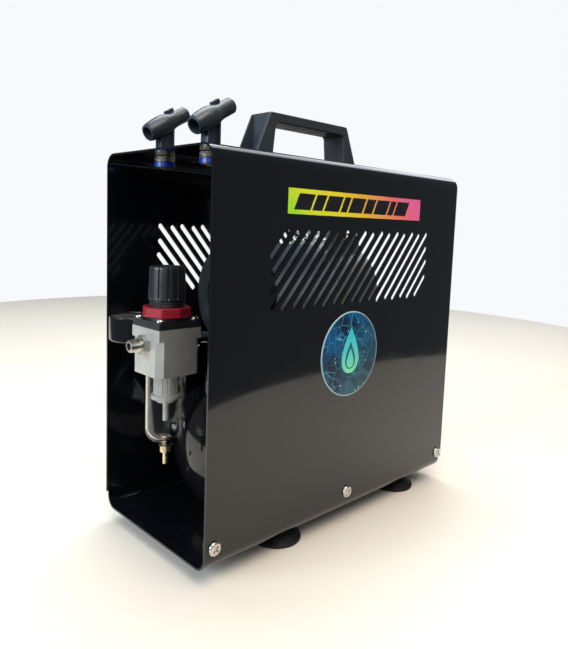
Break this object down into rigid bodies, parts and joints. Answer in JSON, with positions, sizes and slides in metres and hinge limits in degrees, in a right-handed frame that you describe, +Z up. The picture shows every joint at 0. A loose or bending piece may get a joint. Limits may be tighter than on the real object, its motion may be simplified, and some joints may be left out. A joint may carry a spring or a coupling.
{
  "type": "airbrush compressor",
  "caption": "Portable airbrush compressor: piston pump, air tank and filter regulator in an open-ended folded steel case with carry handle, swivelling airbrush holders and suction feet.",
  "frame": {"origin": "on the surface the feet stand on, under the middle of the whole object's footprint", "axes": "+Z up, +X along the case away from the regulator end, front panel facing -Y"},
  "size_m": [0.3406, 0.1548, 0.3705],
  "materials": {
    "black_sheet": "high gloss powder coat over folded sheet steel",
    "tank_paint": "gloss black paint",
    "handle_plastic": "satin moulded plastic",
    "holder_plastic": "fine textured moulded plastic",
    "black_plastic": "satin moulded plastic",
    "rubber": "matt",
    "zinc_steel": "bright plated",
    "nickel": "bright plated",
    "cast_aluminium": "satin die cast",
    "motor_steel": "satin",
    "red_plastic": "semi gloss",
    "blue_plastic": "semi gloss",
    "clear_plastic": "polished",
    "white_plastic": "satin",
    "brass": "machined",
    "spring_steel": "bright",
    "banner_print": "printed film",
    "badge_print": "printed film",
    "dial_print": "printed"
  },
  "bodies": {
    "case": {"banner_sticker": "banner_print", "base_tray": "black_sheet", "bonnet": "black_plastic", "bonnet_screws": "nickel", "carry_handle": "handle_plastic", "case_screws": "zinc_steel", "cord_gland": "black_plastic", "cover": "black_sheet", "cover_screws": "nickel", "crankcase": "cast_aluminium", "crankcase_cover": "cast_aluminium", "cylinder": "cast_aluminium", "cylinder_head": "cast_aluminium", "discharge_tube": "zinc_steel", "drain_collar": "brass", "filter_bowl": "clear_plastic", "filter_cage": "white_plastic", "foot_front_left": "rubber", "foot_front_right": "rubber", "foot_rear_left": "rubber", "foot_rear_right": "rubber", "gauge_case": "tank_paint", "gauge_dial": "dial_print", "gauge_lens": "clear_plastic", "gauge_stem": "brass", "holder_spring_front": "spring_steel", "holder_spring_rear": "spring_steel", "inlet_pipe": "zinc_steel", "intake_filter": "black_plastic", "manifold": "brass", "motor_can": "motor_steel", "motor_cradle": "black_sheet", "motor_end_cap": "black_plastic", "mount_bolts": "zinc_steel", "outlet_nipple": "nickel", "pressure_switch": "black_plastic", "pump_bracket": "black_sheet", "pump_screws": "zinc_steel", "range_spring": "spring_steel", "regulator_body": "cast_aluminium", "ring_nut": "red_plastic", "rocker_switch": "black_plastic", "round_badge": "badge_print", "rubber_mounts": "rubber", "switch_panel": "black_sheet", "tank": "tank_paint", "tank_saddles": "black_sheet"},
    "holder_lift_front": {"holder_bush_front": "blue_plastic"},
    "holder_swing_front": {"airbrush_holder_front": "holder_plastic"},
    "holder_lift_rear": {"holder_bush_rear": "blue_plastic"},
    "holder_swing_rear": {"airbrush_holder_rear": "holder_plastic"},
    "spindle": {"adjusting_spindle": "zinc_steel"},
    "knob": {"regulator_knob": "black_plastic"},
    "drain": {"drain_valve": "brass"},
    "needle": {"gauge_needle": "black_plastic"},
    "rotor": {"rotor": "zinc_steel"},
    "rod": {"connecting_rod": "cast_aluminium"},
    "piston": {"piston": "cast_aluminium"},
    "relief_ring": {"relief_ring": "nickel"},
    "rocker": {"rocker": "red_plastic"}
  },
  "joints": [
    {"name": "holder_front_lift", "type": "slide", "parent": "case", "child": "holder_lift_front", "axis": [0, 0, 1], "range_m": [0, 0.0014], "stiffness_N_per_m": 900, "springref_m": -0.006, "deforming": ["holder_spring_front"]},
    {"name": "holder_front_swivel", "type": "hinge", "parent": "holder_lift_front", "child": "holder_swing_front", "pos_m": [-0.1197, -0.0317, 0.3275], "axis": [0, 0, 1], "range_deg": [-180, 180]},
    {"name": "holder_rear_lift", "type": "slide", "parent": "case", "child": "holder_lift_rear", "axis": [0, 0, 1], "range_m": [0, 0.0014], "stiffness_N_per_m": 900, "springref_m": -0.006, "deforming": ["holder_spring_rear"]},
    {"name": "holder_rear_swivel", "type": "hinge", "parent": "holder_lift_rear", "child": "holder_swing_rear", "pos_m": [-0.1197, 0.0317, 0.3275], "axis": [0, 0, 1], "range_deg": [-180, 180]},
    {"name": "regulator_spindle_turn", "type": "hinge", "parent": "case", "child": "spindle", "pos_m": [-0.1362, 0, 0.2125], "axis": [0, 0, 1], "range_deg": [-720, 720]},
    {"name": "regulator_knob_pull", "type": "slide", "parent": "spindle", "child": "knob", "axis": [0, 0, 1], "range_m": [0, 0.003]},
    {"name": "drain_valve_push", "type": "slide", "parent": "case", "child": "drain", "axis": [0, 0, 1], "range_m": [0, 0.0015], "stiffness_N_per_m": 900, "springref_m": -0.0005},
    {"name": "gauge_needle_sweep", "type": "hinge", "parent": "case", "child": "needle", "pos_m": [-0.1362, 0.0515, 0.1876], "axis": [0, 0, -1], "range_deg": [0, 270], "stiffness_Nm_per_rad": 0.0002},
    {"name": "rotor_spin", "type": "hinge", "parent": "case", "child": "rotor", "pos_m": [-0.0497, 0, 0.2085], "axis": [1, 0, 0], "continuous": true},
    {"name": "crank_pin", "type": "hinge", "parent": "rotor", "child": "rod", "pos_m": [0.0463, 0, 0.2045], "axis": [1, 0, 0], "continuous": true},
    {"name": "piston_stroke", "type": "slide", "parent": "case", "child": "piston", "axis": [0, 0, 1], "range_m": [0, 0.008]},
    {"name": "relief_ring_pull", "type": "slide", "parent": "case", "child": "relief_ring", "axis": [1, 0, 0], "range_m": [0, 0.002], "stiffness_N_per_m": 900, "springref_m": -0.0005},
    {"name": "mains_rocker", "type": "hinge", "parent": "case", "child": "rocker", "pos_m": [0.1558, 0.046, 0.1365], "axis": [0, 1, 0], "range_deg": [0, 18]}
  ],
  "couplings": [
    {"joint": "crank_pin", "follows": "rotor_spin", "ratio": -1}
  ]
}
